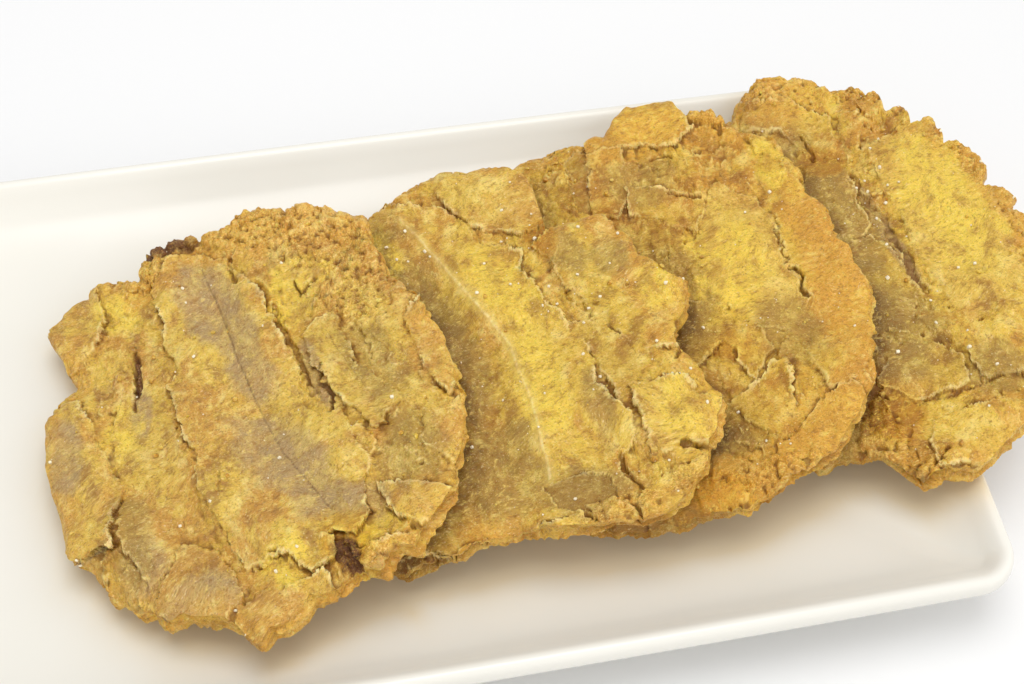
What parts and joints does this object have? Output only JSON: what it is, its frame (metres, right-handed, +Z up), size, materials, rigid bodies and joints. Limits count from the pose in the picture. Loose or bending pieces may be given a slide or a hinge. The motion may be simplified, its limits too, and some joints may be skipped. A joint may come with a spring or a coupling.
{
  "type": "tostones on a rectangular platter",
  "caption": "Twice-fried, flattened plantain discs with flaky tops, shingled along one end of a long rectangular white porcelain platter.",
  "frame": {"origin": "middle of the whole part's footprint, on the table under the platter's foot", "axes": "+X along the platter towards the end that carries the food, +Y to the far long side, +Z up"},
  "size_m": [0.33, 0.134, 0.0335],
  "materials": {
    "porcelain": "glossy warm white glaze",
    "fried_plantain": "golden brown, fibrous, lightly oily"
  },
  "bodies": {
    "root": {"plate": "porcelain", "tostone_1": "fried_plantain", "tostone_2": "fried_plantain", "tostone_3": "fried_plantain", "tostone_4": "fried_plantain"}
  },
  "joints": []
}
